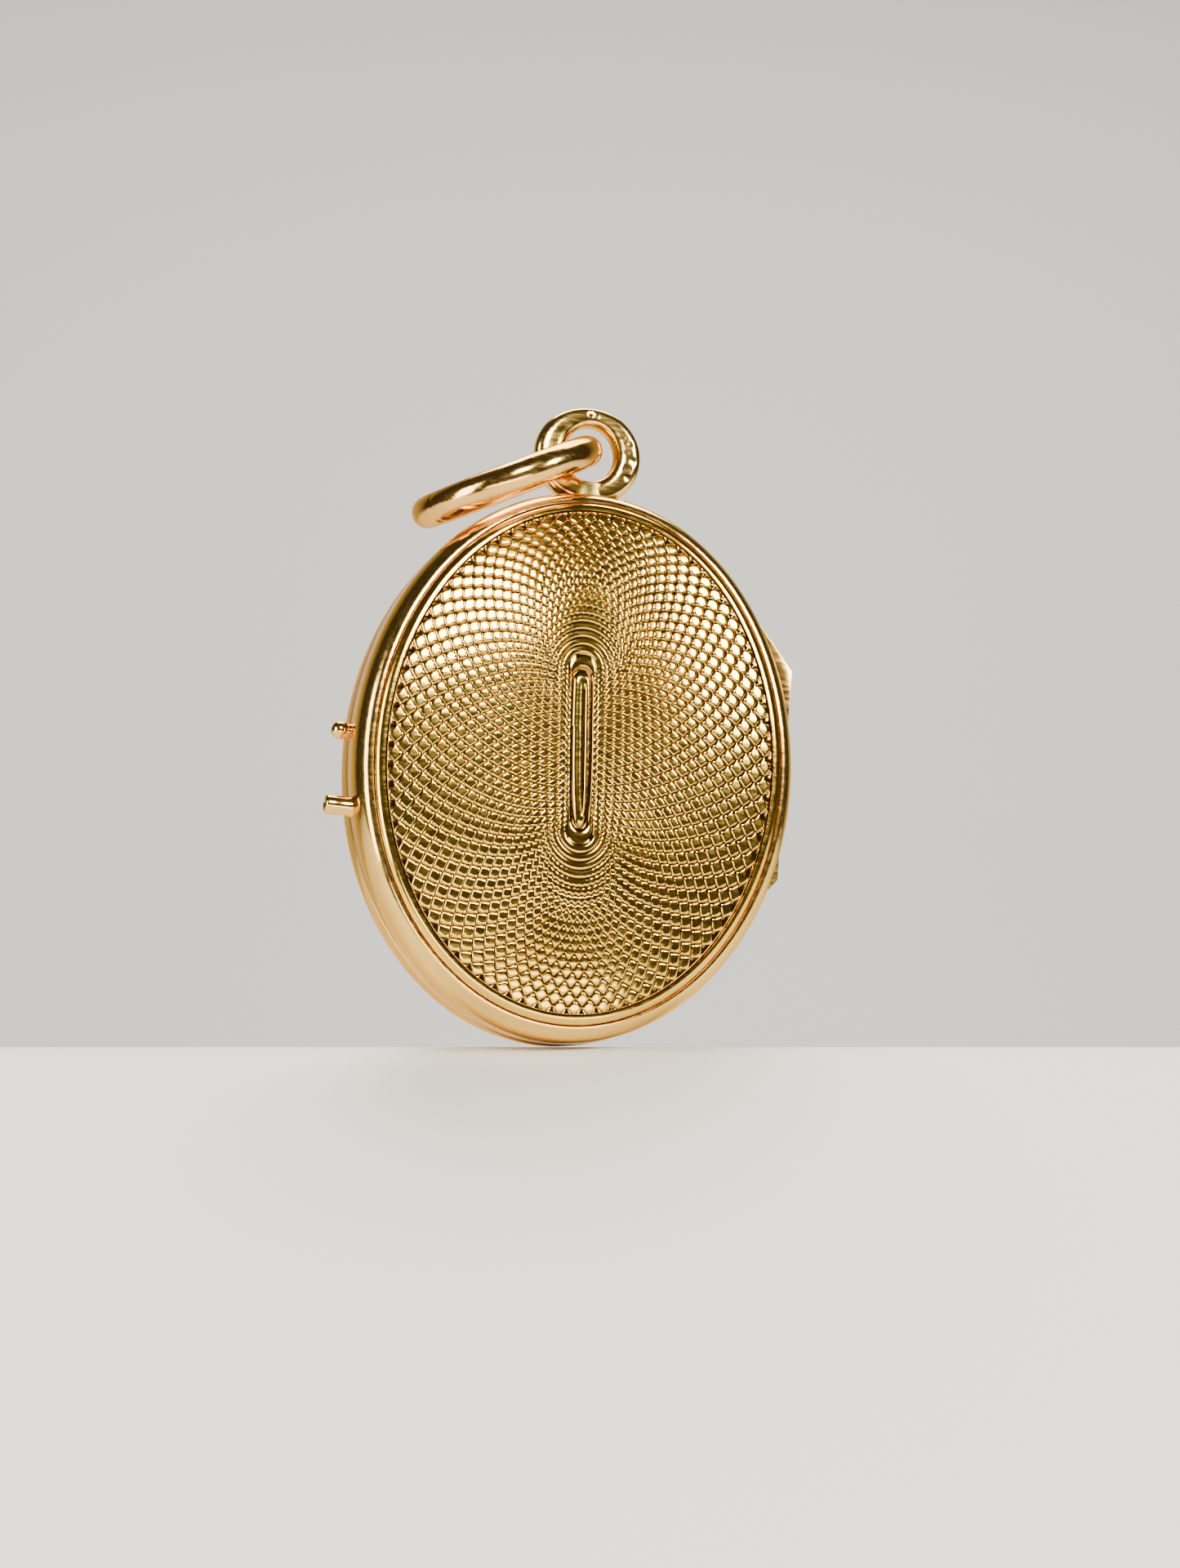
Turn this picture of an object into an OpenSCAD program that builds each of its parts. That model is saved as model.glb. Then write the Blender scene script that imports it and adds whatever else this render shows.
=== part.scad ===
// Oval hinged locket with engine-turned covers, fixed bail and jump ring.
// The eye of the bail is the origin, +Z is up, the front cover faces -Y,
// and the two halves part on the plane y = 0. Sizes are in millimetres.

/* [Case] */
// Half width of the closed case
case_r = 8.85; // [7.5:0.05:9.5]
// Half length of the slit at the heart of every oval
slit_half = 3.3; // [2.6:0.1:3.8]
// Growth in height of an oval for each millimetre of growth in width
oval_growth = 0.86; // [0.8:0.02:1]
// Height of the bail eye above the middle of the case
eye_height = 12.9; // [12.85:0.05:13.3]
// Depth of the upright part of each side band
band_depth = 0.95; // [0.85:0.05:1.05]
// Depth of each half at the crease round its cover
crease_h = 2.1; // [1.9:0.05:2.2]
// Depth of each half at the crest of its domed cover
dome_h = 3.1; // [2.8:0.05:3.3]
// Thickness of the pressed covers
sheet = 0.38; // [0.3:0.02:0.45]
// Gap between each half and the parting plane
parting = 0.04; // [0.02:0.01:0.06]

/* [Hinge] */
// Distance of the hinge axis from the middle of the case
hinge_x = 8.5; // [8.46:0.02:8.56]
// Radius of the hinge tube
tube_r = 0.36; // [0.34:0.02:0.4]
// Radius of the hinge pin
pin_r = 0.2; // [0.16:0.01:0.22]
// Radial clearance between pin and tube
pin_fit = 0.03; // [0.02:0.01:0.05]
// Length of the hinge tube
tube_len = 7.8; // [7:0.1:9]
// Length of the bearers, along their roots
bearer_len = 13; // [12.4:0.1:13.2]

/* [Fastening] */
// Radius of the stub nib on the front half
front_nib_r = 0.38; // [0.3:0.02:0.38]
// How far the stub nib stands out
front_nib_out = 0.8; // [0.7:0.05:1]
// Radius of the ball nib on the back half
back_nib_r = 0.36; // [0.3:0.01:0.37]
// How far the closing lip reaches into the front half
lip_reach = 0.5; // [0.4:0.05:0.5]

/* [Hanging] */
// Wire radius of the bail
bail_wire = 0.46; // [0.42:0.02:0.48]
// Centreline radius of the bail
bail_r = 1.54; // [1.52:0.02:1.6]
// Wire radius of the jump ring
ring_wire = 0.65; // [0.55:0.01:0.66]
// Centreline radius of the jump ring
ring_r = 3.4; // [3.2:0.05:3.5]
// Lean of the resting jump ring below the horizontal
ring_lean = 28; // [10:1:28]
// Tilt of the jump ring about its own length
ring_tilt = 6; // [0:0.5:6]

/* [Hidden] */
$fn = 48;
stations = 64;         // points round each oval
crease_r = 8.2;        // oval of the crease between band and cover
wall_r = 8.4;          // oval of the inside of the side bands
border_r = 7.95;       // oval of the crest of the plain border of a cover
field_r = 7.6;         // oval of the edge of the engine-turned field
core_r = 0.04;         // smallest oval of a closed plate
inner_r = 8.05;        // oval of the pieces inside each half
sight_r = 7.2;         // oval of the opening of a photo frame
lip_r = 8.34;          // oval of the outside of the closing lip
lip_t = 0.16;
lip_end = 4.6;         // the lip is left open beyond this, near the hinge
frame_front_h = 0.3;   // depths from the parting plane of the inner pieces
window_h = 0.92;
window_t = 0.14;
card_t = 0.12;
bail_y = 0.6;          // plane of the bail, on the back half
swing_clear = 0.07;    // clearance between a knuckle and the other half
relief = 13.5;         // angle cut back beyond the hinge axis on each half
knuckles = 5;
knuckle_gap = 0.03;
pitch = tube_len / knuckles;
hinge_mid = 0.65;      // the hinge sits a little above the middle of the case
bearer_t = 0.82;       // thickness of the bearers, and their place
bearer_in = 6.8;
bearer_tip = tube_len / 2 + 0.15;
bearer_root = bearer_len / 2;
edge_relief = 0.1;     // rounding where the two bearers meet beyond the tube
nib_z_front = -2.55;   // heights of the nibs about the middle of the case
nib_z_back = 0.55;
nib_side = 0.06;       // each nib clears the parting plane by this much
back_nib_out = 0.28;   // the ball's middle stands out this far
nib_neck = 0.25;
foot_depth = 1.1;      // sizes of the bail's foot, deeper than the wire so that it wraps it
foot_half = 1.35;
foot_top_half = 1;
foot_low = -2.3;
foot_high = -1.3;
ring_along = 0.18;     // place of the ring's wire in the eye, along and across the ring
ring_across = 0.2;
reach = 30;            // longer than anything it cuts

function oval_z(r) = slit_half + oval_growth * r;
function oval(r) = [for (i = [0 : stations - 1])
    [r * cos(360 * i / stations), oval_z(r) * sin(360 * i / stations)]];
function ring_points(section) = [for (s = section) for (p = oval(s[0])) [p[0], -s[1], p[1]]];
function side(a, b, m) = [for (i = [0 : m - 1]) [a * m + i, a * m + (i + 1) % m, b * m + (i + 1) % m, b * m + i]];

// Moves the case, which is drawn about its own middle, below the eye
module at_case() { translate([0, 0, -eye_height]) children(); }

// The back half is drawn as the front half and turned over
module back_half() { mirror([0, 1, 0]) children(); }

// A closed plate whose section runs from the middle, under the edge, to the middle again
module oval_plate(section) {
    n = len(section);
    m = stations;
    polyhedron(points = ring_points(section), faces = concat(
        [[for (i = [m - 1 : -1 : 0]) i]],
        [for (k = [0 : n - 2]) each side(k, k + 1, m)],
        [[for (i = [0 : m - 1]) (n - 1) * m + i]]), convexity = 6);
}

// An oval ring with a closed section
module oval_ring(section) {
    n = len(section);
    polyhedron(points = ring_points(section),
        faces = [for (k = [0 : n - 1]) each side(k, (k + 1) % n, stations)], convexity = 6);
}

// A flat oval sheet between two depths
module oval_slab(r, h0, h1) {
    rotate([90, 0, 0]) translate([0, 0, h0]) linear_extrude(h1 - h0) polygon(oval(r));
}

border_rise = 0.16;    // rise of the cover from crease to border, and to the field's edge
field_h = crease_h + 0.22;
function dome(r) = field_h + (dome_h - field_h) * (1 - pow(r / field_r, 2));

module cover_plate() {
    dome_stations = [5.9, 4.3, 2.7, 1.2, core_r];
    oval_plate(concat(
        [for (i = [4 : -1 : 0]) [dome_stations[i], dome(dome_stations[i]) - sheet]],
        [[field_r, field_h - sheet], [crease_r, crease_h - sheet]],
        [[crease_r, crease_h], [border_r, crease_h + border_rise], [field_r, field_h]],
        [for (r = dome_stations) [r, dome(r)]]));
}

module rim_band() {
    difference() {
        oval_ring(concat([[wall_r, band_depth + 0.3], [wall_r, parting], [case_r, parting]],
            [for (a = [0 : 15 : 90]) [crease_r + (case_r - crease_r) * cos(a),
                band_depth + (crease_h - band_depth) * sin(a)]],
            [[crease_r, crease_h - sheet]]));
        hinge_space(-bearer_len / 2, bearer_len / 2);
    }
}

// Room cut in the front half for the hinge tube and for opening wide
module hinge_space(z0, z1) {
    translate([hinge_x, 0, hinge_mid + z0]) {
        cylinder(r = tube_r + swing_clear, h = z1 - z0);
        linear_extrude(z1 - z0) polygon([[0, 0.2], [0, 0], [3 * sin(relief), -3 * cos(relief)], [3, 0.2]]);
    }
}

// Strip with slanted ends that carries the knuckles, cut to fit band and tube
module bearer(own, other) {
    tip = bearer_tip;
    root = bearer_root;
    front = hinge_x + tube_r;
    tail = 0.4;
    difference() {
        translate([0, -parting, hinge_mid]) rotate([90, 0, 0]) linear_extrude(bearer_t)
            polygon([[bearer_in - tail, -root - tail], [bearer_in, -root], [front, -tip],
                [front, tip], [bearer_in, root], [bearer_in - tail, root + tail]]);
        rotate([90, 0, 0]) translate([0, 0, -1]) linear_extrude(3) polygon(oval(case_r));
        translate([hinge_x, 0, hinge_mid]) {
            for (k = own) translate([0, 0, (k - knuckles / 2) * pitch]) cylinder(r = tube_r, h = pitch);
            for (k = other) translate([0, 0, (k - knuckles / 2) * pitch])
                cylinder(r = tube_r + swing_clear, h = pitch);
            for (end = [-root - 1, tube_len / 2]) translate([0, 0, end])
                cylinder(r = edge_relief, h = root + 1 - tube_len / 2);
            translate([0, 0, -reach / 2]) linear_extrude(reach)
                polygon([[0, 0], [3 * sin(relief), -3 * cos(relief)], [3, 0.2], [0, 0.2]]);
        }
    }
}

module knuckle(k) {
    translate([hinge_x, 0, hinge_mid + (k - knuckles / 2) * pitch + knuckle_gap]) difference() {
        cylinder(r = tube_r, h = pitch - 2 * knuckle_gap);
        translate([0, 0, -1]) cylinder(r = pin_r + pin_fit, h = pitch + 2);
    }
}

module photo_frame() {
    oval_ring([[sight_r, 0.62], [sight_r + 0.12, 0.4], [sight_r + 0.4, frame_front_h], [inner_r - 0.1, 0.36],
        [inner_r, 0.5], [inner_r, window_h], [sight_r, window_h]]);
}

module front_cover_plate() { color("goldenrod") at_case() cover_plate(); }
module front_rim_band() { color("gold") at_case() rim_band(); }
module front_photo_frame() { color("khaki") at_case() photo_frame(); }
module front_window() { color("lightcyan") at_case() oval_slab(inner_r, window_h, window_h + window_t); }
module front_photo_card() {
    color("ivory") at_case() oval_slab(inner_r, window_h + window_t, window_h + window_t + card_t);
}

module front_thumb_nib() {
    color("gold") at_case() difference() {
        translate([-case_r - front_nib_out, -front_nib_r - nib_side, nib_z_front])
            rotate([0, 90, 0]) cylinder(r = front_nib_r, h = front_nib_out + 0.4);
        oval_prism(case_r);
    }
}

// The inside of an oval, through the whole case
module oval_prism(r) {
    rotate([90, 0, 0]) translate([0, 0, -reach / 2]) linear_extrude(reach) polygon(oval(r));
}

module front_hinge_bearer() { color("goldenrod") at_case() bearer([1, 3], [0, 2, 4]); }
module front_hinge_knuckle_upper() { color("khaki") at_case() knuckle(3); }
module front_hinge_knuckle_lower() { color("khaki") at_case() knuckle(1); }

module back_cover_plate() { color("goldenrod") at_case() back_half() cover_plate(); }
module back_rim_band() { color("darkgoldenrod") at_case() back_half() rim_band(); }
module back_photo_frame() { color("khaki") at_case() back_half() photo_frame(); }
module back_window() {
    color("lightcyan") at_case() back_half() oval_slab(inner_r, window_h, window_h + window_t);
}
module back_photo_card() {
    color("ivory") at_case() back_half()
        oval_slab(inner_r, window_h + window_t, window_h + window_t + card_t);
}

// Thin upright lip that snaps inside the front band, left open near the hinge
module back_closing_lip() {
    color("khaki") at_case() difference() {
        rotate([90, 0, 0]) translate([0, 0, -0.85]) linear_extrude(0.85 + lip_reach)
            difference() { polygon(oval(lip_r)); polygon(oval(lip_r - lip_t)); }
        translate([lip_end, -reach / 2, -reach / 2]) cube(reach);
    }
}

module back_thumb_nib() {
    color("gold") at_case() difference() {
        union() {
            translate([-case_r - back_nib_out, back_nib_r + nib_side, nib_z_back]) sphere(r = back_nib_r);
            translate([-case_r - back_nib_out, back_nib_r + nib_side, nib_z_back])
                rotate([0, 90, 0]) cylinder(r = nib_neck, h = 0.6);
        }
        oval_prism(case_r);
    }
}

module back_hinge_bearer() { color("darkgoldenrod") at_case() back_half() bearer([0, 2, 4], [1, 3]); }
module back_hinge_knuckle_top() { color("gold") at_case() knuckle(4); }
module back_hinge_knuckle_middle() { color("gold") at_case() knuckle(2); }
module back_hinge_knuckle_bottom() { color("gold") at_case() knuckle(0); }

module hinge_pin() {
    color("darkgoldenrod") at_case()
        translate([hinge_x, 0, hinge_mid - tube_len / 2]) cylinder(r = pin_r, h = tube_len);
}

module bail_shape() {
    translate([0, bail_y, 0]) rotate([90, 0, 0]) rotate_extrude() translate([bail_r, 0]) circle(r = bail_wire);
}
module bail_loop() {
    color("gold") difference() {
        bail_shape();
        at_case() oval_prism(case_r);
    }
}

// Solder foot, saddled between the bail and the top of the back band
module bail_foot() {
    color("darkkhaki") difference() {
        translate([0, bail_y + foot_depth / 2, 0]) rotate([90, 0, 0]) linear_extrude(foot_depth)
            polygon([[-foot_half, foot_low], [foot_half, foot_low],
                [foot_top_half, foot_high], [-foot_top_half, foot_high]]);
        at_case() oval_prism(case_r);
        bail_shape();
    }
}

// The ring's length runs down to the left, and its wire passes through the eye
module jump_ring() {
    color("peru") translate([0, bail_y, 0]) rotate([0, -ring_lean, 0]) rotate([ring_tilt, 0, 0])
        translate([-ring_r - ring_along, 0, ring_across]) rotate_extrude() translate([ring_r, 0]) circle(r = ring_wire);
}

front_cover_plate();
front_rim_band();
front_photo_frame();
front_window();
front_photo_card();
front_thumb_nib();
front_hinge_bearer();
front_hinge_knuckle_upper();
front_hinge_knuckle_lower();
back_cover_plate();
back_rim_band();
back_closing_lip();
back_photo_frame();
back_window();
back_photo_card();
back_thumb_nib();
back_hinge_bearer();
back_hinge_knuckle_top();
back_hinge_knuckle_middle();
back_hinge_knuckle_bottom();
hinge_pin();
bail_loop();
bail_foot();
jump_ring();
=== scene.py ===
import math

import bpy
import numpy as np
from mathutils import Matrix, Vector


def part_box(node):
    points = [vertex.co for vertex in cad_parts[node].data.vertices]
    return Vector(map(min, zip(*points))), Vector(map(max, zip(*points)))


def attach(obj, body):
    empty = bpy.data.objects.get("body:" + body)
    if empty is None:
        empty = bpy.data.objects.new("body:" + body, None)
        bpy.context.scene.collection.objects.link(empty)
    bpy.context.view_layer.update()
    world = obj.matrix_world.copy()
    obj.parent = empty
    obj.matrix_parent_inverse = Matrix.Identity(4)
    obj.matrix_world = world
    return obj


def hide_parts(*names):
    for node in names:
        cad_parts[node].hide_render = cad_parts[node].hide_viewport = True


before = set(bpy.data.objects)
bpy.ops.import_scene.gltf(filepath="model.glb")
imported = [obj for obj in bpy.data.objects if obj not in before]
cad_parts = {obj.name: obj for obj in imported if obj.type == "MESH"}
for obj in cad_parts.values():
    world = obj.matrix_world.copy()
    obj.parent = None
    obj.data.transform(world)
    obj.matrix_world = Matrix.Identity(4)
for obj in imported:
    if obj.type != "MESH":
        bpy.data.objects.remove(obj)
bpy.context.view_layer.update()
bpy.ops.object.select_all(action="DESELECT")

# ---------------------------------------------------------------------------
# Side bands. Each half of the case is built on a strip of nine-carat gold drawn
# over a rounded mandrel, soldered into an oval and filed flat where the halves
# meet. The strips are notched at the hinge so that its tube lies half inside.
MM = 0.001                            # the pieces are worked in millimetres
band_low, band_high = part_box("front_rim_band")
case_r = -band_low.x / MM             # half width of the case
case_top = (band_high.z - band_low.z) / 2 / MM
case_middle = (band_high.z + band_low.z) / 2 / MM
crease_h = -band_low.y / MM           # depth of each half at the crease
slit_half = 3.3                       # every oval grows from an upright slit
oval_growth = (case_top - slit_half) / case_r
parting = 0.04                        # gap of each half from the middle plane
crease_r = case_r - 0.65
wall_r = case_r - 0.45                # inside of the side bands
seat_h = crease_h - 0.38              # depth at which the cover sits in its band
shoulder_h = 0.95                     # depth at which the band begins to round over
pin_low, pin_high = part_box("hinge_pin")
hinge_x = (pin_low.x + pin_high.x) / 2 / MM
hinge_low, hinge_high = pin_low.z / MM - case_middle, pin_high.z / MM - case_middle
bearer_len = 13.0                     # length of the notch for the hinge
hinge_room_r = 0.47                   # room for the tube, with a little play
HALVES = (("front", -1, "front_half"), ("back", 1, "back_half"))


def oval_z(r):
    """Half height of the oval that is r wide."""
    return slit_half + oval_growth * r


def turned(name, section, half_height=oval_z, closed=True, stations=288):
    """Works a wire oval up through a section of (half width, depth) steps, as a moulding is drawn."""
    bpy.ops.object.select_all(action="DESELECT")
    bpy.ops.mesh.primitive_circle_add(vertices=stations, radius=1)
    piece = bpy.context.object
    piece.name = name
    bpy.ops.object.mode_set(mode="EDIT")
    bpy.ops.mesh.select_mode(type="EDGE")
    bpy.ops.mesh.select_all(action="SELECT")
    r, h = section[0]
    bpy.ops.transform.resize(value=(r, half_height(r), 1))
    bpy.ops.transform.translate(value=(0, 0, h))
    for next_r, next_h in section[1:]:
        bpy.ops.mesh.extrude_edges_move(TRANSFORM_OT_translate={"value": (0, 0, next_h - h)})
        bpy.ops.transform.resize(value=(next_r / r, half_height(next_r) / half_height(r), 1))
        r, h = next_r, next_h
    if closed:
        bpy.ops.mesh.select_all(action="DESELECT")
        bpy.ops.mesh.select_non_manifold(extend=False)
        bpy.ops.mesh.bridge_edge_loops()
    else:
        bpy.ops.mesh.select_all(action="SELECT")
        bpy.ops.mesh.fill_holes(sides=0)
    bpy.ops.mesh.select_all(action="SELECT")
    bpy.ops.mesh.normals_make_consistent(inside=False)
    bpy.ops.object.mode_set(mode="OBJECT")
    return piece


def place(piece, turn, at):
    """Turns a piece made in millimetres, sets it at its place and keeps that place in its mesh."""
    bpy.ops.object.select_all(action="DESELECT")
    piece.select_set(True)
    bpy.context.view_layer.objects.active = piece
    piece.rotation_euler = turn
    piece.scale = (MM, MM, MM)
    piece.location = Vector(at) * MM
    bpy.ops.object.transform_apply(location=True, rotation=True, scale=True)
    return piece


def stand_in_case(piece, side):
    """Stands a piece made face up on its edge, on the front (-1) or the back (1) half."""
    return place(piece, (-side * math.pi / 2, 0, 0), (0, 0, case_middle))


def cut_away(piece, cutter):
    """Files one shape out of a piece and throws the cutter away."""
    bpy.context.view_layer.objects.active = piece
    cut = piece.modifiers.new("cut", "BOOLEAN")
    cut.operation = "DIFFERENCE"
    cut.solver = "EXACT"
    cut.object = cutter
    bpy.ops.object.modifier_apply(modifier=cut.name)
    bpy.data.objects.remove(cutter, do_unlink=True)


def hinge_room(side, tube_r, relief=13.5):
    """The space cleared for the hinge tube, opening outwards so that the halves can swing wide."""
    reach, behind = 3.0, 0.2
    centre = (hinge_x * MM, 0, (case_middle + (hinge_low + hinge_high) / 2) * MM)
    bpy.ops.object.select_all(action="DESELECT")
    bpy.ops.mesh.primitive_cylinder_add(vertices=64, radius=tube_r * MM, depth=bearer_len * MM,
                                        location=centre)
    tube = bpy.context.object
    bpy.ops.object.transform_apply(location=True, rotation=True, scale=True)
    slope = (reach * math.sin(math.radians(relief)), reach * math.cos(math.radians(relief)) * side)
    outline = [(0, -behind * side), (0, 0), slope, (reach, slope[1]), (reach, -behind * side)]
    points = []
    for end in (-bearer_len / 2, bearer_len / 2):
        for x, y in outline:
            points.append((centre[0] + x * MM, y * MM, centre[2] + end * MM))
    count = len(outline)
    sides = [(i, (i + 1) % count, (i + 1) % count + count, i + count) for i in range(count)]
    mesh = bpy.data.meshes.new("wedge")
    mesh.from_pydata(points, [], sides + [tuple(range(count))[::-1], tuple(range(count, 2 * count))])
    wedge = bpy.data.objects.new("wedge", mesh)
    bpy.context.scene.collection.objects.link(wedge)
    bpy.ops.object.select_all(action="DESELECT")
    wedge.select_set(True)
    bpy.context.view_layer.objects.active = wedge
    bpy.ops.object.mode_set(mode="EDIT")
    bpy.ops.mesh.select_all(action="SELECT")
    bpy.ops.mesh.normals_make_consistent(inside=False)
    bpy.ops.object.mode_set(mode="OBJECT")
    return tube, wedge


def smooth(piece, angle=35):
    """Polishes the faces into each other and keeps the edges that are sharper than the angle."""
    bpy.ops.object.select_all(action="DESELECT")
    piece.select_set(True)
    bpy.context.view_layer.objects.active = piece
    bpy.ops.object.shade_smooth_by_angle(angle=math.radians(angle))


def polished_gold(name, colour, roughness=0.16, worn=0.5, scratch=0.35):
    """Hand-polished low-carat gold: hairline scratches, soft dents and a little dullness."""
    material = bpy.data.materials.new(name)
    material.use_nodes = True
    nodes, links = material.node_tree.nodes, material.node_tree.links
    shader = nodes["Principled BSDF"]
    shader.inputs["Metallic"].default_value = 1.0
    shader.inputs["Specular Tint"].default_value = (0.92, 0.64, 0.32, 1)
    place = nodes.new("ShaderNodeTexCoord")
    cloud = nodes.new("ShaderNodeTexNoise")
    cloud.inputs["Scale"].default_value = 420
    cloud.inputs["Detail"].default_value = 6
    links.new(place.outputs["Object"], cloud.inputs["Vector"])
    tint = nodes.new("ShaderNodeMix")
    tint.data_type = "RGBA"
    tint.inputs["A"].default_value = (*colour, 1)
    tint.inputs["B"].default_value = (colour[0] * 0.86, colour[1] * 0.78, colour[2] * 0.66, 1)
    dull = nodes.new("ShaderNodeMapRange")
    dull.inputs["From Min"].default_value = 0.42
    dull.inputs["From Max"].default_value = 0.75
    dull.inputs["To Max"].default_value = worn
    links.new(cloud.outputs["Fac"], dull.inputs["Value"])
    links.new(dull.outputs["Result"], tint.inputs["Factor"])
    links.new(tint.outputs["Result"], shader.inputs["Base Color"])
    stretch = nodes.new("ShaderNodeMapping")
    stretch.inputs["Rotation"].default_value = (0.5, 0.3, 0.9)
    stretch.inputs["Scale"].default_value = (900, 9000, 6000)
    links.new(place.outputs["Object"], stretch.inputs["Vector"])
    hair = nodes.new("ShaderNodeTexNoise")
    hair.inputs["Scale"].default_value = 1.4
    hair.inputs["Detail"].default_value = 3
    links.new(stretch.outputs["Vector"], hair.inputs["Vector"])
    rough = nodes.new("ShaderNodeMapRange")
    rough.inputs["From Min"].default_value = 0.35
    rough.inputs["From Max"].default_value = 0.7
    rough.inputs["To Min"].default_value = roughness * 0.75
    rough.inputs["To Max"].default_value = roughness * 1.5
    links.new(hair.outputs["Fac"], rough.inputs["Value"])
    links.new(rough.outputs["Result"], shader.inputs["Roughness"])
    dent = nodes.new("ShaderNodeTexNoise")
    dent.inputs["Scale"].default_value = 900
    dent.inputs["Detail"].default_value = 2
    links.new(place.outputs["Object"], dent.inputs["Vector"])
    fine = nodes.new("ShaderNodeBump")
    fine.inputs["Strength"].default_value = scratch * 0.25
    fine.inputs["Distance"].default_value = 0.00001
    links.new(hair.outputs["Fac"], fine.inputs["Height"])
    soft = nodes.new("ShaderNodeBump")
    soft.inputs["Strength"].default_value = scratch
    soft.inputs["Distance"].default_value = 0.00003
    links.new(dent.outputs["Fac"], soft.inputs["Height"])
    links.new(fine.outputs["Normal"], soft.inputs["Normal"])
    links.new(soft.outputs["Normal"], shader.inputs["Normal"])
    return material


def finish_piece(piece, body, slot, material, *replaced):
    """Puts the finish on a piece and sets it on its half of the locket."""
    piece.data.materials.clear()
    piece.data.materials.append(material)
    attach(piece, body)
    if replaced:
        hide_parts(*replaced)


def arc(centre_r, centre_h, across, deep, start, end, steps):
    """Points round part of an ellipse in the section of a moulding, between two angles in degrees."""
    angles = [math.radians(start + (end - start) * i / steps) for i in range(steps + 1)]
    return [(centre_r + across * math.cos(a), centre_h + deep * math.sin(a)) for a in angles]


band_gold = polished_gold("band_gold", (0.84, 0.54, 0.14), roughness=0.14)
band_section = [(wall_r, 1.2), (wall_r, parting + 0.03), (wall_r + 0.03, parting),
                (case_r - 0.04, parting), (case_r - 0.01, parting + 0.015), (case_r, parting + 0.05)]
band_section += arc(crease_r + 0.03, shoulder_h, case_r - crease_r - 0.03, crease_h - shoulder_h, 0, 90, 12)
band_section += [(crease_r + 0.01, crease_h - 0.02), (crease_r, crease_h - 0.06), (crease_r, seat_h)]
for half, side, body in HALVES:
    band = stand_in_case(turned(half + "_band", band_section), side)
    for cutter in hinge_room(side, hinge_room_r):
        cut_away(band, cutter)
    smooth(band)
    finish_piece(band, body, "band_gold", band_gold, half + "_rim_band")

# ---------------------------------------------------------------------------
# Covers. Each is a sheet of gold pressed into a shallow dome, then engine
# turned on an oval chuck: wavy cuts, each half a wave round from the last,
# leave rows of barleycorns about a lancet-shaped boss. Plain turned lines
# frame the field, and the edge is burnished into the band.
WAVES = 80                            # waves in each cut round the cover
PER_WAVE = 8                          # stations in each wave
CUTS = 19
first_cut, last_cut = 0.55, 7.6       # half widths of the innermost and outermost cut
wave_size = 0.155                     # how far a wave swings to each side
cut_depth = 0.055
cut_half_width = 0.062
crown = 0.010                         # how far the metal stands up between two cuts
dome_top = -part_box("front_cover_plate")[0].y / MM - 0.02
field_h = crease_h + 0.2
field_r = 7.66
sheet_t = 0.38                        # thickness of the pressing
INSIDE = (field_r, 6.2, 4.8, 3.2, 1.6, 0.05)    # half widths of the rings along its inside
BORDER_STEPS = 8
slit_turn, field_turn = 3.6, 1.0      # degrees the work sat round on the chuck
slit_x, slit_z = -0.25, 0.34          # place of the slit, off the middle of the cover

angle = np.linspace(0, 2 * np.pi, WAVES * PER_WAVE, endpoint=False)


def dome(r):
    """Depth of the uncut dome at an oval's half width."""
    return field_h + (dome_top - field_h) * (1 - (r / field_r) ** 2)


def across(r, half_height, straight):
    """Distance across at every station, from an ellipse (0) to straight sides with round ends (1)."""
    over = np.maximum(0, half_height * np.abs(np.sin(angle)) - (half_height - r))
    lane = np.sign(np.cos(angle)) * np.sqrt(np.maximum(0, r * r - over * over))
    return lane * straight + r * np.cos(angle) * (1 - straight)


def wave_cut(k):
    """Half width of the cut number k at every station: it waves, except where its waves would crowd."""
    r = first_cut + (last_cut - first_cut) * k / CUTS
    pitch = np.hypot(r * np.sin(angle), oval_z(r) * np.cos(angle)) * 2 * np.pi / WAVES
    room = np.clip((pitch - 0.12) / 0.22, 0, 1)
    room = room * room * (3 - 2 * room)
    room = room * (1 - np.abs(np.sin(angle)) ** 4 * max(0, 1 - k / 10)) * min(1, 0.5 + k / 2)
    phase = WAVES * angle + math.pi * (k % 2)
    zigzag = (np.sin(phase) - 0.11 * np.sin(3 * phase) * k / CUTS) / (1 + 0.11 * k / CUTS)
    return r + wave_size * room * zigzag


def ring_at(r, h, cut):
    """One ring of the cover: its points across and up, their depth, and how deeply each is cut."""
    return across(r, oval_z(r), np.exp(-(r / 2.6) ** 2)), oval_z(r) * np.sin(angle), h, cut


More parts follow.
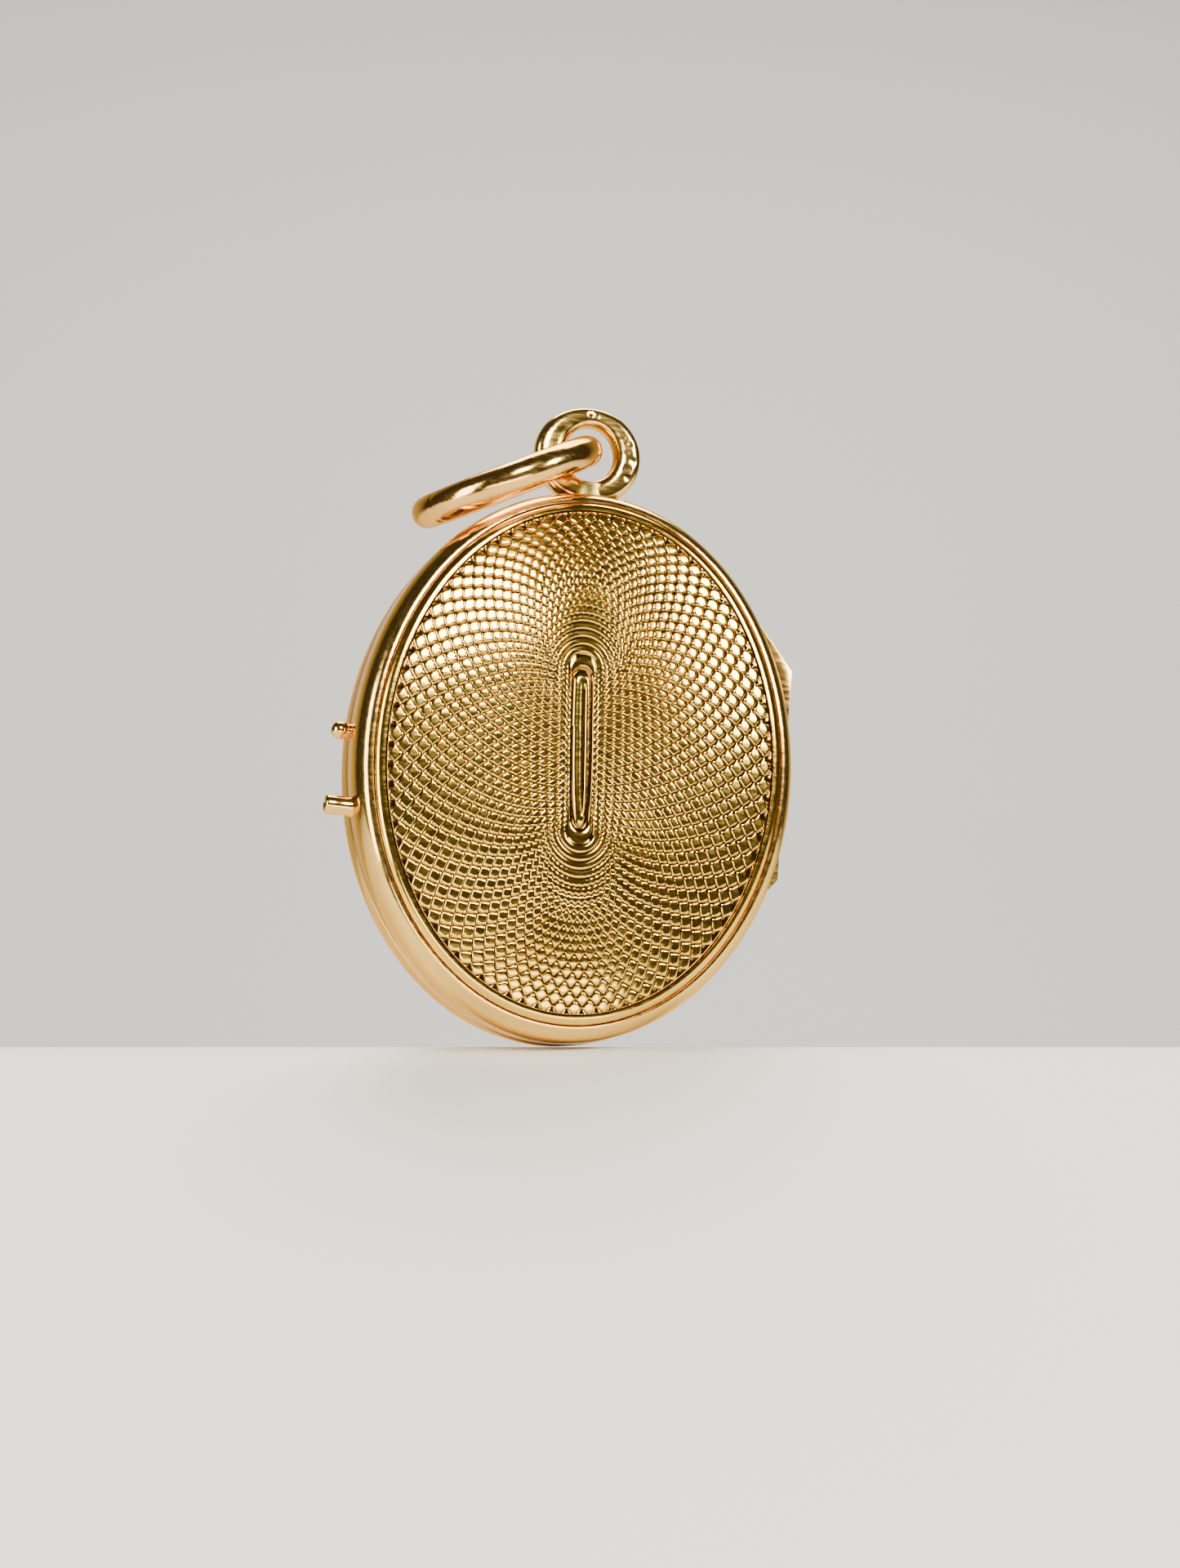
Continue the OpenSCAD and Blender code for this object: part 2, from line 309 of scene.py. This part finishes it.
def engine_turned_rings():
    """Every ring of the cover from the boss outwards, over the edge and back along the inside."""
    flat = np.ones_like(angle)
    rings = []
    # the lancet boss: two polished bars with a thin slot between them, in a moat
    upper, left = np.sin(angle) > 0, np.cos(angle) < 0
    shoulder = np.clip((np.sin(angle) * 3 - 0.8) / 0.1, 0, 1) * left
    slot_x, slot_end, boss_r, boss_drop = 0.10, 0.36, 0.5, 0.03
    boss = [(0.004, 2.30, -0.06, 1.0), (0.018, 2.36, -0.06, 1.0), (0.04, 2.42, -0.02, 0.8),
            (0.07, 2.50, 0.015, 0.1), (0.15, 2.65, 0.045, 0.0), (0.24, 2.82, 0.040, 0.0),
            (0.31, 2.96, 0.005, 0.0), (0.345, 3.03, -0.05, 0.6), (0.37, 3.08, -0.09, 1.0),
            (0.40, 3.14, -0.09, 1.0), (0.43, 3.22, -0.04, 0.8), (0.455, 3.30, -0.008, 0.2),
            (0.475, 3.42, 0.0, 0.0), (0.49, 3.56, 0.0, 0.0)]
    for r, z, h, cut in boss:
        aside = slot_x * max(0, 1 - r / slot_end)
        wide = 1 + 0.14 * shoulder * math.sin(math.pi * r / boss_r) ** 2
        rounder = min(1, max(0, (r - 0.3) / 0.2))
        straight = np.where(upper, 0.75 + 0.25 * rounder, 0.1 + 0.8 * rounder)
        rings.append((across(r, z, straight) * wide + aside, z * np.sin(angle),
                      flat * (dome_top - boss_drop + h), flat * cut))
    for k in range(CUTS):
        inner, outer = wave_cut(k), wave_cut(k + 1)
        width = outer - inner
        wall = np.clip(cut_half_width / width, 0.1, 0.34)
        for t in (0 * wall, wall, (wall + 0.5) / 2, 0 * wall + 0.5, 1 - (wall + 0.5) / 2, 1 - wall):
            r = inner + t * width
            near = np.minimum(t, 1 - t) * width
            cut = np.clip(1 - near / cut_half_width, 0, 1)
            raised = crown * 4 * t * (1 - t) * np.clip(width / 0.5, 0, 1)
            rings.append(ring_at(r, dome(r) - crown - cut_depth * cut + raised, cut))
    r = wave_cut(CUTS)
    rings.append(ring_at(r, dome(r) - crown - cut_depth, flat))
    # a turned line round the field, then the plain rounded border, falling to the crease
    line = [(field_r + 0.02, 0.0, 0.3), (field_r + 0.05, -0.01, 0.4), (field_r + 0.08, -0.055, 1.0),
            (field_r + 0.11, -0.01, 0.4)]
    for r, step, cut in line:
        rings.append(ring_at(flat * r, flat * (field_h - crown + step), flat * cut))
    border_in = field_r + 0.13
    for i in range(BORDER_STEPS + 1):
        r = border_in + (crease_r - 0.01 - border_in) * math.sin(math.pi / 2 * i / BORDER_STEPS)
        fall = math.cos(math.pi / 2 * i / BORDER_STEPS)
        h = crease_h - 0.13 + (field_h - crease_h + 0.14) * fall
        rings.append(ring_at(flat * r, flat * h, 0 * flat))
    # the crease, marked as half cut so that the finish darkens it with painted shade
    rings.append(ring_at(flat * (crease_r - 0.005), flat * seat_h, flat * 0.5))
    # the plain inside of the pressing, marked as half cut so that the finish darkens it with painted shade
    for r in INSIDE:
        rings.append(ring_at(flat * r, flat * (dome(r) - sheet_t - 0.02), flat * 0.5))
    return rings


def engine_turned_cover(name):
    """Builds the cover face up, ring by ring, with the depth of cut kept as an attribute that the finish
    turns into painted shade.
    """
    rings = engine_turned_rings()
    count, around = len(rings), len(angle)
    points = np.zeros((count, around, 3))
    outside = count - len(INSIDE) - 1
    for i, (x, y, h, _) in enumerate(rings):
        outward = min(1, abs(x[len(x) // 2]) / last_cut) if i < outside else 1
        turn = math.radians(slit_turn + (field_turn - slit_turn) * outward) * (1 - outward ** 6)
        aside = 1 - outward ** 2
        points[i, :, 0] = x * math.cos(turn) - y * math.sin(turn) + slit_x * aside
        points[i, :, 1] = x * math.sin(turn) + y * math.cos(turn) + slit_z * aside
        points[i, :, 2] = h
    index = np.arange(count * around).reshape(count, around)
    beside = np.roll(index, -1, axis=1)
    quads = np.stack([index[:-1], index[1:], beside[1:], beside[:-1]], axis=-1).reshape(-1, 4).tolist()
    faces = quads + [index[0].tolist(), index[-1][::-1].tolist()]
    mesh = bpy.data.meshes.new(name)
    mesh.from_pydata(points.reshape(-1, 3).tolist(), [], faces)
    depth = mesh.attributes.new("cut", "FLOAT", "POINT")
    depth.data.foreach_set("value", np.concatenate([ring[3] for ring in rings]).astype(np.float32))
    cover = bpy.data.objects.new(name, mesh)
    bpy.context.scene.collection.objects.link(cover)
    return cover


def engine_turned_gold(name, colour):
    """Polished gold, with painted shade darkening the walls and bottoms of the cuts towards a dark brown.
    """
    material = polished_gold(name, colour, roughness=0.12, worn=0.35, scratch=0.25)
    nodes, links = material.node_tree.nodes, material.node_tree.links
    shader = nodes["Principled BSDF"]
    plain_colour = shader.inputs["Base Color"].links[0].from_socket
    # painted shade: the more deeply a point is cut, the more its colour is mixed towards dark brown
    depth = nodes.new("ShaderNodeAttribute")
    depth.attribute_name = "cut"
    shade_strength = nodes.new("ShaderNodeMapRange")
    shade_strength.inputs["From Min"].default_value = 0.02
    shade_strength.inputs["From Max"].default_value = 0.55
    shade_strength.inputs["To Max"].default_value = 0.9
    links.new(depth.outputs["Fac"], shade_strength.inputs["Value"])
    cut_shade = nodes.new("ShaderNodeMix")
    cut_shade.data_type = "RGBA"
    cut_shade.inputs["B"].default_value = (0.17, 0.075, 0.01, 1)
    links.new(shade_strength.outputs["Result"], cut_shade.inputs["Factor"])
    links.new(plain_colour, cut_shade.inputs["A"])
    links.new(cut_shade.outputs["Result"], shader.inputs["Base Color"])
    return material


cover_gold = engine_turned_gold("cover_gold", (0.84, 0.54, 0.085))
for half, side, body in HALVES:
    cover = stand_in_case(engine_turned_cover(half + "_cover"), side)
    smooth(cover, 60)
    finish_piece(cover, body, "cover_gold", cover_gold, half + "_cover_plate")

# ---------------------------------------------------------------------------
# Closing lip. A thin upright strip, soldered inside the back half's wall, that
# snaps inside the front half. It stops short of the hinge on both sides.
lip_r, lip_t, lip_end = case_r - 0.51, 0.16, 4.6
lip_low, lip_high = -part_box("back_closing_lip")[1].y / MM, -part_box("back_closing_lip")[0].y / MM
lip = turned("closing_lip", [(lip_r, lip_low), (lip_r, lip_high - 0.05), (lip_r - 0.05, lip_high),
                             (lip_r - lip_t + 0.03, lip_high), (lip_r - lip_t, lip_high - 0.03),
                             (lip_r - lip_t, lip_low)])
bpy.ops.object.mode_set(mode="EDIT")
bpy.ops.mesh.select_all(action="SELECT")
bpy.ops.mesh.bisect(plane_co=(lip_end, 0, 0), plane_no=(1, 0, 0), use_fill=True, clear_outer=True)
bpy.ops.object.mode_set(mode="OBJECT")
stand_in_case(lip, -1)
smooth(lip)
finish_piece(lip, "back_half", "band_gold", band_gold, "back_closing_lip")

# ---------------------------------------------------------------------------
# Photo frames. In each half a thin gilt rim, rolled from strip and sprung into
# the case, holds a clear film and the card that a picture is pasted on. They
# lift out with a fingernail, and are seen only when the locket is open.
frame_low, frame_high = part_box("front_photo_frame")
frame_out = -frame_low.x / MM
sight = frame_out - 0.85
face_h, under_h = -frame_high.y / MM, -frame_low.y / MM
film_t = (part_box("front_window")[1].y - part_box("front_window")[0].y) / MM
card_t = (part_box("front_photo_card")[1].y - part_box("front_photo_card")[0].y) / MM
frame_section = [(sight, under_h - 0.01), (sight, face_h + 0.3), (sight + 0.03, face_h + 0.18)]
frame_section += arc(sight + 0.26, face_h + 0.15, 0.2, -0.15, 170, 90, 6)
frame_section += arc(frame_out - 0.2, face_h + 0.2, 0.2, -0.2, 90, 0, 6)
frame_section += [(frame_out, under_h - 0.01)]
frame_gilt = polished_gold("frame_gilt", (0.88, 0.57, 0.16), roughness=0.2)

window_film = bpy.data.materials.new("window_film")
window_film.use_nodes = True
nodes, links = window_film.node_tree.nodes, window_film.node_tree.links
shader = nodes["Principled BSDF"]
shader.inputs["Base Color"].default_value = (0.97, 0.95, 0.90, 1)
shader.inputs["Transmission Weight"].default_value = 1.0
shader.inputs["IOR"].default_value = 1.49
place_on = nodes.new("ShaderNodeTexCoord")
stretch = nodes.new("ShaderNodeMapping")
stretch.inputs["Rotation"].default_value = (0.2, 0.7, 0.4)
stretch.inputs["Scale"].default_value = (300, 300, 6000)
rubs = nodes.new("ShaderNodeTexNoise")
rubs.inputs["Scale"].default_value = 1.5
rough = nodes.new("ShaderNodeMapRange")
rough.inputs["From Min"].default_value = 0.5
rough.inputs["From Max"].default_value = 0.8
rough.inputs["To Min"].default_value = 0.03
rough.inputs["To Max"].default_value = 0.3
links.new(place_on.outputs["Object"], stretch.inputs["Vector"])
links.new(stretch.outputs["Vector"], rubs.inputs["Vector"])
links.new(rubs.outputs["Fac"], rough.inputs["Value"])
links.new(rough.outputs["Result"], shader.inputs["Roughness"])

photo_card = bpy.data.materials.new("photo_card")
photo_card.use_nodes = True
nodes, links = photo_card.node_tree.nodes, photo_card.node_tree.links
shader = nodes["Principled BSDF"]
shader.inputs["Roughness"].default_value = 0.85
place_on = nodes.new("ShaderNodeTexCoord")
fibre = nodes.new("ShaderNodeTexNoise")
fibre.inputs["Scale"].default_value = 2600
fibre.inputs["Detail"].default_value = 5
stain = nodes.new("ShaderNodeTexNoise")
stain.inputs["Scale"].default_value = 260
age = nodes.new("ShaderNodeMix")
age.data_type = "RGBA"
age.inputs["A"].default_value = (0.80, 0.74, 0.60, 1)
age.inputs["B"].default_value = (0.62, 0.50, 0.33, 1)
spread = nodes.new("ShaderNodeMapRange")
spread.inputs["From Min"].default_value = 0.4
spread.inputs["From Max"].default_value = 0.75
tooth = nodes.new("ShaderNodeBump")
tooth.inputs["Strength"].default_value = 0.4
tooth.inputs["Distance"].default_value = 0.00002
links.new(place_on.outputs["Object"], fibre.inputs["Vector"])
links.new(place_on.outputs["Object"], stain.inputs["Vector"])
links.new(stain.outputs["Fac"], spread.inputs["Value"])
links.new(spread.outputs["Result"], age.inputs["Factor"])
links.new(age.outputs["Result"], shader.inputs["Base Color"])
links.new(fibre.outputs["Fac"], tooth.inputs["Height"])
links.new(tooth.outputs["Normal"], shader.inputs["Normal"])
for half, side, body in HALVES:
    rim = stand_in_case(turned(half + "_frame", frame_section), side)
    smooth(rim)
    finish_piece(rim, body, "frame_gilt", frame_gilt, half + "_photo_frame")
    film = turned(half + "_film", [(frame_out, under_h + 0.01), (frame_out, under_h + film_t - 0.02)],
                  closed=False)
    stand_in_case(film, side)
    finish_piece(film, body, "window_film", window_film, half + "_window")
    card_h = under_h + film_t
    card = turned(half + "_card", [(frame_out, card_h), (frame_out, card_h + card_t)], closed=False)
    stand_in_case(card, side)
    finish_piece(card, body, "photo_card", photo_card, half + "_photo_card")

# ---------------------------------------------------------------------------
# Thumb nibs. One is a stub of wire on the front half, its end filed and dished;
# the other is a bead melted on wire, on the back half. Each is soldered into
# its band, and the locket is opened by parting them with a nail.
nib_front, nib_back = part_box("front_thumb_nib"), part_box("back_thumb_nib")
stub_r = (nib_front[1].z - nib_front[0].z) / 2 / MM
stub_len = 1.2
bead_r = (nib_back[1].z - nib_back[0].z) / 2 / MM


def round_wire(r):
    """A round piece is as high as it is wide."""
    return r


stub_end = [(stub_r, stub_len - 0.13), (stub_r - 0.03, stub_len - 0.05), (stub_r - 0.10, stub_len - 0.005)]
stub_end += [(stub_r - 0.16, stub_len), (stub_r - 0.24, stub_len - 0.06), (0.03, stub_len - 0.07)]
stub = turned("stub_nib", [(stub_r + 0.03, 0), (stub_r + 0.02, 0.2), (stub_r - 0.02, 0.34),
                           (stub_r - 0.01, 0.7)] + stub_end, round_wire, closed=False, stations=48)
stub_root = (nib_front[0].x / MM + stub_len,
             (nib_front[0].y + nib_front[1].y) / 2 / MM,
             (nib_front[0].z + nib_front[1].z) / 2 / MM)
place(stub, (0, -math.pi / 2, 0), stub_root)
smooth(stub, 40)
finish_piece(stub, "front_half", "band_gold", band_gold, "front_thumb_nib")
bead_len = 0.82
bead_section = [(0.38, 0), (0.33, 0.06), (0.29, 0.11)]
bead_section += arc(0, bead_len - bead_r, bead_r, bead_r, -38, 87, 14)
bead = turned("bead_nib", bead_section, round_wire, closed=False, stations=48)
bead_root = (nib_back[0].x / MM + bead_len,
             (nib_back[0].y + nib_back[1].y) / 2 / MM,
             (nib_back[0].z + nib_back[1].z) / 2 / MM)
place(bead, (0, -math.pi / 2, 0), bead_root)
smooth(bead, 50)
finish_piece(bead, "back_half", "band_gold", band_gold, "back_thumb_nib")

# ---------------------------------------------------------------------------
# Hinge. Five knuckles of drawn tube, by turns on the back and the front bearer,
# turn on a wire pin. Each bearer is a strip filed to slope away at its ends and
# soldered along its band.
hinge_gold = polished_gold("hinge_gold", (0.80, 0.49, 0.12), roughness=0.18)
tube_r = (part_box("back_hinge_knuckle_top")[1].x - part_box("back_hinge_knuckle_top")[0].x) / 2 / MM
pin_r = (pin_high.x - pin_low.x) / 2 / MM
KNUCKLES = (("back", "bottom"), ("front", "lower"), ("back", "middle"),
            ("front", "upper"), ("back", "top"))
knuckle_play, knuckle_edge = 0.03, 0.03
filed_edge = 0.09
for half, where in KNUCKLES:
    node = half + "_hinge_knuckle_" + where
    low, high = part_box(node)
    long = (high.z - low.z) / MM
    knuckle_section = [(pin_r + knuckle_play, 0), (tube_r - knuckle_edge, 0), (tube_r, knuckle_edge),
                       (tube_r, long - knuckle_edge), (tube_r - knuckle_edge, long),
                       (pin_r + knuckle_play, long)]
    knuckle = turned(node + "_tube", knuckle_section, round_wire, stations=64)
    place(knuckle, (0, 0, 0), (hinge_x, 0, low.z / MM))
    smooth(knuckle)
    finish_piece(knuckle, half + "_half", "hinge_gold", hinge_gold, node)
pin_len = hinge_high - hinge_low
pin_section = [(pin_r - 0.05, 0), (pin_r, 0.04), (pin_r, pin_len - 0.04), (pin_r - 0.05, pin_len)]
pin = turned("hinge_wire", pin_section, round_wire, closed=False, stations=48)
place(pin, (0, 0, 0), (hinge_x, 0, pin_low.z / MM))
smooth(pin)
finish_piece(pin, "back_half", "hinge_gold", hinge_gold, "hinge_pin")
for half, side, body in HALVES:
    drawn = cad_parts[half + "_hinge_bearer"]
    bearer = bpy.data.objects.new(half + "_bearer", drawn.data.copy())
    bpy.context.scene.collection.objects.link(bearer)
    bpy.ops.object.select_all(action="DESELECT")
    bearer.select_set(True)
    bpy.context.view_layer.objects.active = bearer
    bpy.ops.object.mode_set(mode="EDIT")
    bpy.ops.mesh.select_all(action="SELECT")
    bpy.ops.mesh.remove_doubles(threshold=0.001 * MM)
    bpy.ops.mesh.dissolve_limited(angle_limit=math.radians(1))
    bpy.ops.mesh.normals_make_consistent(inside=False)
    bpy.ops.object.mode_set(mode="OBJECT")
    soften = bearer.modifiers.new("filed edges", "BEVEL")
    soften.width = filed_edge * MM
    soften.segments = 4
    soften.limit_method = "ANGLE"
    soften.angle_limit = math.radians(35)
    bpy.ops.object.modifier_apply(modifier=soften.name)
    smooth(bearer)
    finish_piece(bearer, body, "hinge_gold", hinge_gold, half + "_hinge_bearer")

# ---------------------------------------------------------------------------
# Bail. A loop of flattened wire stood on the back half and worn thin at the top
# by its ring. Its own joint shows as a pit there, and its right side is pitted
# where it was overheated. The foot is greenish solder, run in a fillet.
bail_low, bail_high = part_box("bail_loop")
bail_y = (bail_low.y + bail_high.y) / 2 / MM
bail_deep = (bail_high.y - bail_low.y) / 2 / MM
bail_out, bail_in = 2.12, 1.04
worn_out, worn_in, worn_low, fuller = 0.15, 0.14, 0.08, 0.12
loop_r, loop_wire, flattened = 1.6, 0.5, 0.72
pit_spread, pit_relief = 1.5, 0.5
pits = [(94, 0.30, 0.075, 0.10), (84, 0.05, 0.04, 0.04), (22, 0.25, 0.07, 0.06), (10, -0.1, 0.06, 0.05),
        (-2, 0.35, 0.09, 0.07), (-14, 0.0, 0.08, 0.06), (-26, 0.3, 0.07, 0.05), (34, 0.0, 0.05, 0.05)]
bpy.ops.object.select_all(action="DESELECT")
bpy.ops.mesh.primitive_torus_add(major_segments=224, minor_segments=56,
                                 major_radius=loop_r, minor_radius=loop_wire)
bail = bpy.context.object
bail.name = "soldered_bail"
for vertex in bail.data.vertices:
    x, y, z = vertex.co
    theta = math.atan2(y, x)
    phi = math.atan2(z, math.hypot(x, y) - loop_r)
    high, low = max(0, math.sin(theta)) ** 2, max(0, -math.sin(theta)) ** 2
    outer = bail_out - worn_out * high - worn_low * low + fuller * max(0, -math.cos(theta)) ** 2
    inner = bail_in + worn_in * high
    over_wire = math.copysign(abs(math.cos(phi)) ** flattened, math.cos(phi))
    through = math.copysign(abs(math.sin(phi)) ** flattened, math.sin(phi))
    r = (outer + inner) / 2 + over_wire * (outer - inner) / 2
    front = bail_deep * through * (1 - 0.1 * high)
    for pit_angle, pit_across, pit_size, pit_depth in pits:
        along = (theta - math.radians(pit_angle)) * r
        off = (over_wire - pit_across) * (outer - inner) / 2
        if through > 0.2 and abs(along) < 0.4:
            near = math.exp(-(along ** 2 + off ** 2) / (pit_spread * pit_size) ** 2)
            front -= pit_relief * pit_depth * near
    vertex.co = (r * math.cos(theta), r * math.sin(theta), front)
place(bail, (math.pi / 2, 0, 0), (0, bail_y, 0))
smooth(bail, 60)
finish_piece(bail, "back_half", "band_gold", band_gold, "bail_loop")

solder_gold = polished_gold("solder", (0.22, 0.17, 0.05), roughness=0.26, worn=0.9, scratch=0.8)
foot_points, foot_faces = [], []
FOOT_RINGS, FOOT_ROUND = 12, 56
foot_half, foot_spread = 0.98, 0.36             # half width at the top, and how much the fillet adds
foot_thick, foot_swell = 0.50, 0.05             # the same from front to back
foot_top, foot_sunk = 1.16, 0.05                # its top below the eye, and how deep it sits in the case
for ring in range(FOOT_RINGS):
    t = ring / (FOOT_RINGS - 1)
    flare = (1 - t) ** 2.4
    for i in range(FOOT_ROUND):
        a = 2 * math.pi * i / FOOT_ROUND
        x = (foot_half + foot_spread * flare) * math.cos(a)
        y = bail_y + (foot_thick + foot_swell * flare) * math.sin(a)
        on_case = case_middle + case_top * math.sqrt(1 - (x / case_r) ** 2) - foot_sunk
        foot_points.append((x * MM, y * MM, (on_case * (1 - t) - foot_top * t) * MM))
for ring in range(FOOT_RINGS - 1):
    for i in range(FOOT_ROUND):
        a, b = ring * FOOT_ROUND + i, ring * FOOT_ROUND + (i + 1) % FOOT_ROUND
        foot_faces.append((a, b, b + FOOT_ROUND, a + FOOT_ROUND))
foot_faces.append(tuple(range(FOOT_ROUND))[::-1])
foot_faces.append(tuple(range((FOOT_RINGS - 1) * FOOT_ROUND, FOOT_RINGS * FOOT_ROUND)))
mesh = bpy.data.meshes.new("solder_foot")
mesh.from_pydata(foot_points, [], foot_faces)
foot = bpy.data.objects.new("solder_foot", mesh)
bpy.context.scene.collection.objects.link(foot)
smooth(foot, 50)
finish_piece(foot, "back_half", "solder", solder_gold, "bail_foot")

# ---------------------------------------------------------------------------
# Jump ring. Round wire of a slightly redder gold, coiled, cut and closed through
# the bail, with its soldered joint filed nearly flush.
ring_r, wire_r = 3.4, 0.65
lean, tilt = math.radians(28), math.radians(6)
ring_low, ring_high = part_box("jump_ring")
ring_gold = polished_gold("ring_gold", (0.82, 0.48, 0.13), roughness=0.14)
bpy.ops.object.select_all(action="DESELECT")
bpy.ops.mesh.primitive_torus_add(major_segments=224, minor_segments=48,
                                 major_radius=ring_r, minor_radius=wire_r)
jump_ring = bpy.context.object
jump_ring.name = "closed_jump_ring"
joint_angle = math.radians(200)
joint_pinch, joint_length = 0.035, 0.07
for vertex in jump_ring.data.vertices:
    x, y, z = vertex.co
    around = math.atan2(y, x)
    off = math.atan2(math.sin(around - joint_angle), math.cos(around - joint_angle)) * ring_r
    pinch = 1 - joint_pinch * math.exp(-(off / joint_length) ** 2)
    wire_middle = Vector((math.cos(around), math.sin(around), 0)) * ring_r
    vertex.co = wire_middle + (vertex.co - wire_middle) * pinch
place(jump_ring, (tilt, -lean, 0), (ring_low + ring_high) / 2 / MM)
smooth(jump_ring)
finish_piece(jump_ring, "jump_ring", "ring_gold", ring_gold, "jump_ring")

# ---------------------------------------------------------------------------
# Camera. It looks slightly up at the locket from its left, because the locket
# leans back, and it is turned because the locket leans to the right.
view_left, view_up, view_roll = math.radians(-14), math.radians(-9.5), math.radians(4.4)
lens, sensor = 85.0, 36.0
frame_height = 0.0620                 # height of the view at the locket
distance = frame_height * lens / sensor
aim_right, aim_down = 0.00089, 0.00058
back = Vector((math.sin(view_left) * math.cos(view_up), -math.cos(view_left) * math.cos(view_up),
               math.sin(view_up)))
camera_data = bpy.data.cameras.new("camera")
camera_data.lens = lens
camera_data.sensor_width = sensor
camera_data.clip_start = 0.005
camera = bpy.data.objects.new("camera", camera_data)
bpy.context.scene.collection.objects.link(camera)
turned_view = back.to_track_quat("Z", "Y").to_matrix().to_4x4() @ Matrix.Rotation(view_roll, 4, "Z")
right, up = turned_view.col[0].to_3d(), turned_view.col[1].to_3d()
aim = Vector((0, 0, case_middle * MM)) + right * aim_right - up * aim_down
turned_view.translation = aim + back * distance
camera.matrix_world = turned_view
bpy.context.scene.camera = camera

# ---------------------------------------------------------------------------
# Stage. A pale sheet lies level in the view under the locket, falls away in
# front of it, because the locket is looked up at, and curves up far behind.
level = (Vector((0, 0, 1)) - right * right.z).normalized()
away = level.cross(right)
case_corners = [v.co for half in ("front", "back") for v in bpy.data.objects[half + "_band"].data.vertices]
floor_z = min(level.dot(corner) for corner in case_corners) - 0.00002
bend, bend_r, BEND_STEPS = math.radians(27), 0.006, 12
fold_y, wall_y, wall_curve = 0.001, 0.26, 0.05
apron, half_wide, wall_high = 0.35, 0.5, 0.5
outline = [(wall_y + 0.052, floor_z + wall_high)]
for i in range(11, 0, -1):
    a = math.radians(8 * i)
    outline.append((wall_y + wall_curve * math.sin(a), floor_z + wall_curve * (1 - math.cos(a))))
outline += [(wall_y, floor_z), (fold_y, floor_z)]
for i in range(1, BEND_STEPS + 1):
    a = bend * i / BEND_STEPS
    outline.append((fold_y - bend_r * math.sin(a), floor_z - bend_r * (1 - math.cos(a))))
end_y, end_z = outline[-1]
outline.append((end_y - apron * math.cos(bend), end_z - apron * math.sin(bend)))
sheet_points = [right * x + away * y + level * z for x in (-half_wide, half_wide) for y, z in outline]
count = len(outline)
mesh = bpy.data.meshes.new("stage_sheet")
mesh.from_pydata(sheet_points, [], [(i, i + 1, i + 1 + count, i + count) for i in range(count - 1)])
stage_sheet = bpy.data.objects.new("stage_sheet", mesh)
bpy.context.scene.collection.objects.link(stage_sheet)
smooth(stage_sheet, 40)
paper = bpy.data.materials.new("stage_paper")
paper.use_nodes = True
paper.node_tree.nodes["Principled BSDF"].inputs["Base Color"].default_value = (0.70, 0.69, 0.68, 1)
paper.node_tree.nodes["Principled BSDF"].inputs["Roughness"].default_value = 0.7
stage_sheet.data.materials.append(paper)


def soft_light(name, place_at, size, watts, colour):
    """A soft box, facing the locket."""
    light = bpy.data.lights.new(name, "AREA")
    light.shape = "RECTANGLE"
    light.size, light.size_y = size
    light.energy = watts
    light.color = colour
    box = bpy.data.objects.new(name, light)
    box.location = place_at
    toward = Vector(place_at) - Vector((0, 0, case_middle * MM))
    box.rotation_euler = toward.to_track_quat("Z", "Y").to_euler()
    bpy.context.scene.collection.objects.link(box)


soft_light("left_box", (-0.028, -0.235, 0.092), (0.075, 0.06), 0.80, (1.0, 0.96, 0.82))
soft_light("right_box", (0.145, -0.190, 0.090), (0.06, 0.08), 0.70, (1.0, 0.96, 0.82))
soft_light("over_box", (0.02, 0.10, 0.25), (0.24, 0.18), 1.7, (1.0, 0.98, 0.95))
soft_light("side_box", (-0.27, -0.10, 0.0), (0.12, 0.20), 1.1, (1.0, 0.94, 0.84))
soft_light("low_box", (-0.03, -0.25, -0.108), (0.30, 0.045), 0.34, (1.0, 0.94, 0.80))
world = bpy.data.worlds.new("room")
world.use_nodes = True
world.node_tree.nodes["Background"].inputs["Color"].default_value = (0.60, 0.56, 0.52, 1)
world.node_tree.nodes["Background"].inputs["Strength"].default_value = 0.09
bpy.context.scene.world = world
